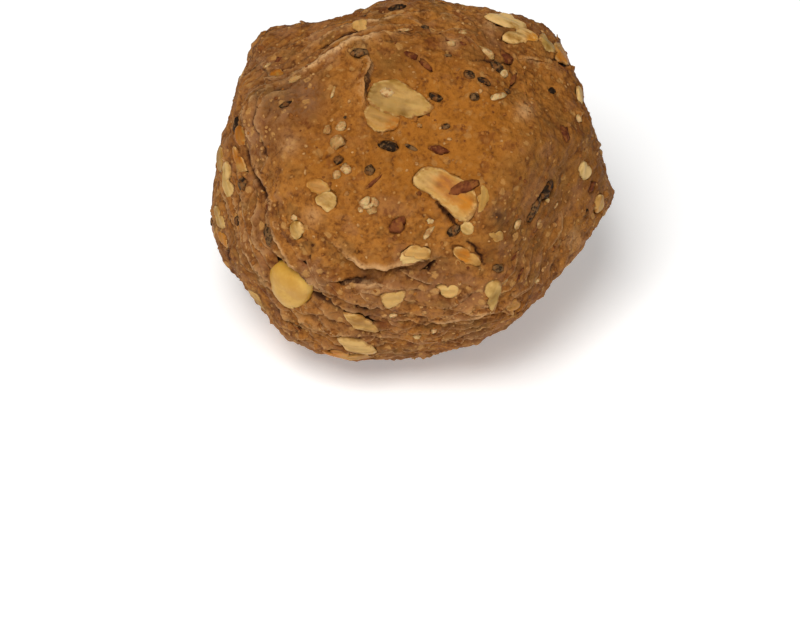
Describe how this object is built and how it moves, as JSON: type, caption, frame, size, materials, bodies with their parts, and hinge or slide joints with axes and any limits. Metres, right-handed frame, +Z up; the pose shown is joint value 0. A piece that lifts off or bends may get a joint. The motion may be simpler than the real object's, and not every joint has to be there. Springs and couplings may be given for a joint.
{
  "type": "energy ball",
  "caption": "Hand-rolled energy ball of nut and date dough with rolled oats, a golden kernel, chia, flax and sesame pressed in, on a small flat resting spot",
  "frame": {"origin": "the middle of the small flat spot that the ball rests on", "axes": "+Z up from the resting spot; -Y towards the side that the picture shows best, which is seen from about 40 degrees above; +X to the right as seen from there, and the ball's longest extent"},
  "size_m": [0.0439, 0.0395, 0.0384],
  "materials": {
    "dough": "matt, slightly oily orange-brown nut and date dough with pale oat flakes and dark seeds"
  },
  "bodies": {
    "root": {"energy_ball": "dough"}
  },
  "joints": []
}
